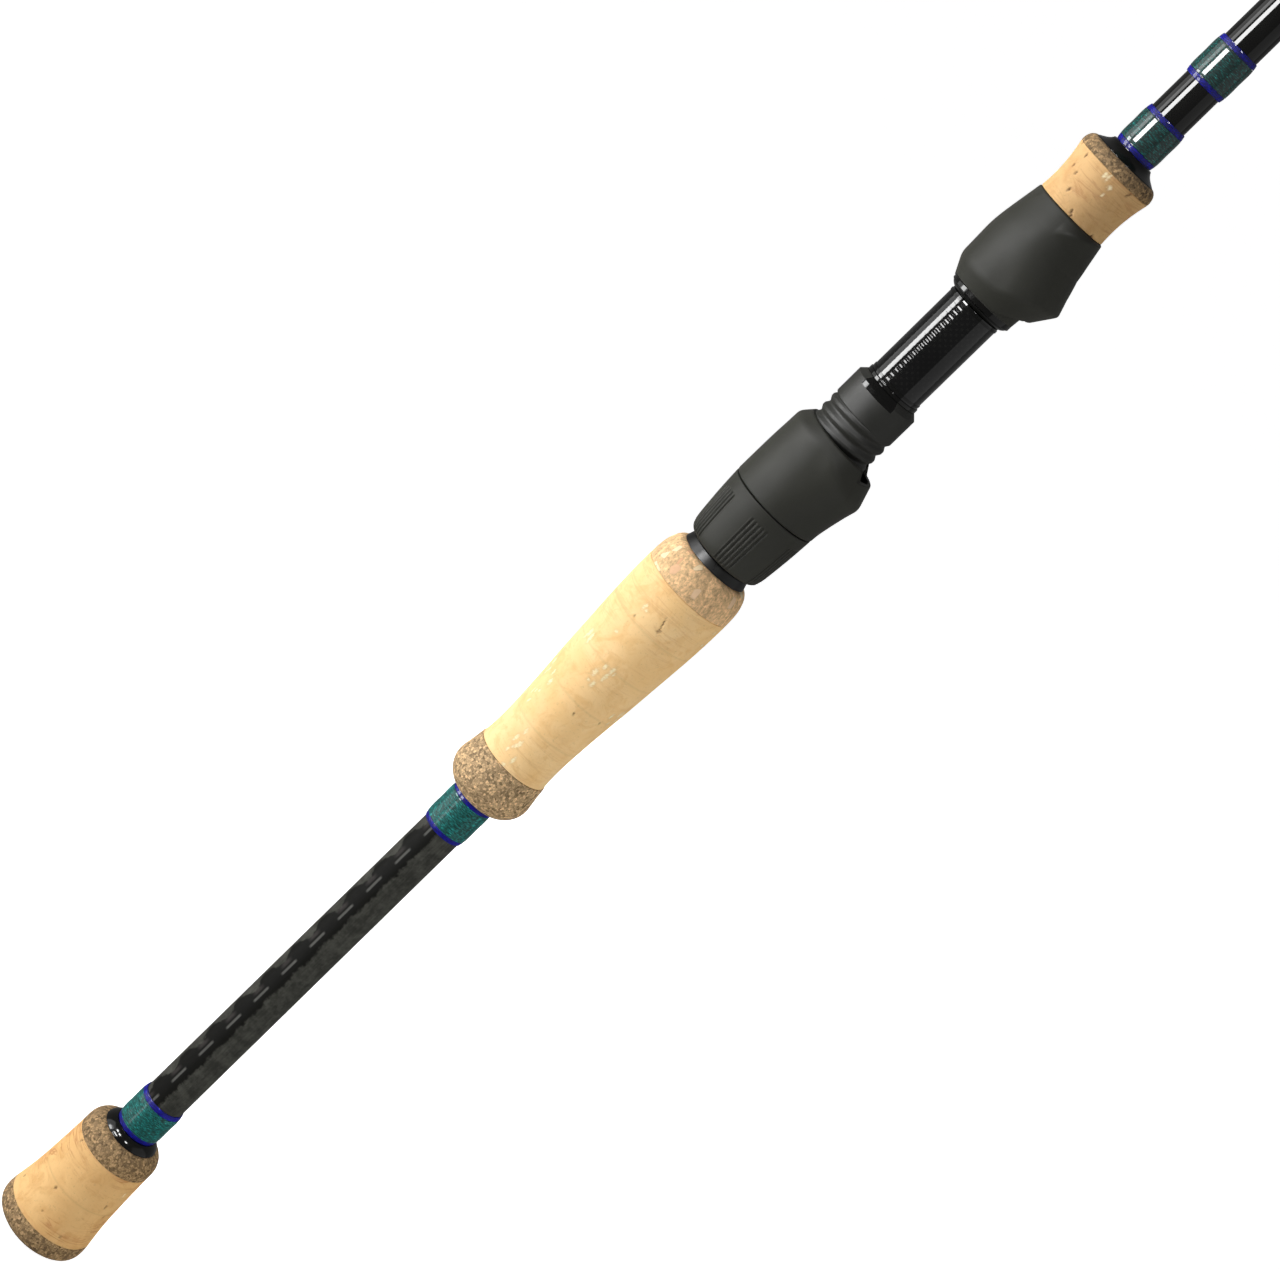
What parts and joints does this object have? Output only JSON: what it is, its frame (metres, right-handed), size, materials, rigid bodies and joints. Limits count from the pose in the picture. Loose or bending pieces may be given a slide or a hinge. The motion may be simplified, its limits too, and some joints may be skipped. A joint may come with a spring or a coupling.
{
  "type": "spinning rod",
  "caption": "Spinning rod with split cork grips, a screw-down reel seat with a moving hood, a tapered carbon blank, line guides and a tip-top.",
  "frame": {"origin": "centre of the flat on the end of the butt plate", "axes": "+Z along the rod from butt to tip; +X towards the underside, where the reel foot and the line guides sit"},
  "size_m": [0.0611, 0.0282, 2.1369],
  "materials": {
    "cork": "natural cork, fine sanded",
    "burl": "dark composite burl cork",
    "light_burl": "light composite burl cork",
    "carbon": "satin carbon blank with a criss-cross pattern",
    "gloss_carbon": "glossy carbon tube",
    "soft_black": "soft-touch charcoal",
    "gloss_black": "glossy black",
    "trim_silver": "thin grey band",
    "arbor": "moulded bushing",
    "green_thread": "metallic teal thread under clear epoxy",
    "blue_thread": "royal blue thread under clear epoxy",
    "guide_metal": "black-plated steel",
    "guide_insert": "polished ceramic"
  },
  "bodies": {
    "rod": {"barrel_trim_ring": "gloss_black", "blank": "carbon", "butt_grip_burl_ring": "burl", "butt_grip_cork": "cork", "butt_plate": "burl", "butt_winding_check": "gloss_black", "butt_wrap_thread": "green_thread", "butt_wrap_trim": "blue_thread", "fore_grip_burl_ring": "burl", "fore_grip_cork": "cork", "fore_winding_check": "gloss_black", "fore_wrap_thread": "green_thread", "fore_wrap_trim": "blue_thread", "front_hood": "soft_black", "front_hood_trim_ring": "gloss_black", "guide_1_frame": "guide_metal", "guide_1_ring": "guide_insert", "guide_1_wraps": "green_thread", "guide_2_frame": "guide_metal", "guide_2_ring": "guide_insert", "guide_2_wraps": "green_thread", "guide_3_frame": "guide_metal", "guide_3_ring": "guide_insert", "guide_3_wraps": "green_thread", "guide_4_frame": "guide_metal", "guide_4_ring": "guide_insert", "guide_4_wraps": "green_thread", "guide_5_frame": "guide_metal", "guide_5_ring": "guide_insert", "guide_5_wraps": "green_thread", "guide_6_frame": "guide_metal", "guide_6_ring": "guide_insert", "guide_6_wraps": "green_thread", "guide_7_frame": "guide_metal", "guide_7_ring": "guide_insert", "guide_7_wraps": "green_thread", "palm_grip_cork": "cork", "palm_grip_front_ring": "light_burl", "palm_grip_rear_ring": "burl", "palm_wrap_thread": "green_thread", "palm_wrap_trim": "blue_thread", "seat_arbor_front": "arbor", "seat_arbor_middle": "arbor", "seat_arbor_rear": "arbor", "seat_barrel": "soft_black", "seat_rear_trim_ring": "gloss_black", "seat_sleeve": "gloss_carbon", "sleeve_trim_bands": "trim_silver", "tip_top_frame": "guide_metal", "tip_top_ring": "guide_insert", "tip_top_wrap": "green_thread", "upper_wrap_thread": "green_thread", "upper_wrap_trim": "blue_thread"},
    "hood": {"moving_hood": "soft_black"},
    "nut": {"lock_nut": "soft_black"}
  },
  "joints": [
    {"name": "hood_slide", "type": "slide", "parent": "rod", "child": "hood", "axis": [0, 0, 1], "range_m": [0, 0.016]},
    {"name": "nut_turn", "type": "hinge", "parent": "hood", "child": "nut", "pos_m": [0, 0, 0.285], "axis": [0, 0, 1], "range_deg": [0, 1800]}
  ],
  "couplings": [
    {"joint": "hood_slide", "follows": "nut_turn", "m_per_rad": 0.0005093}
  ]
}
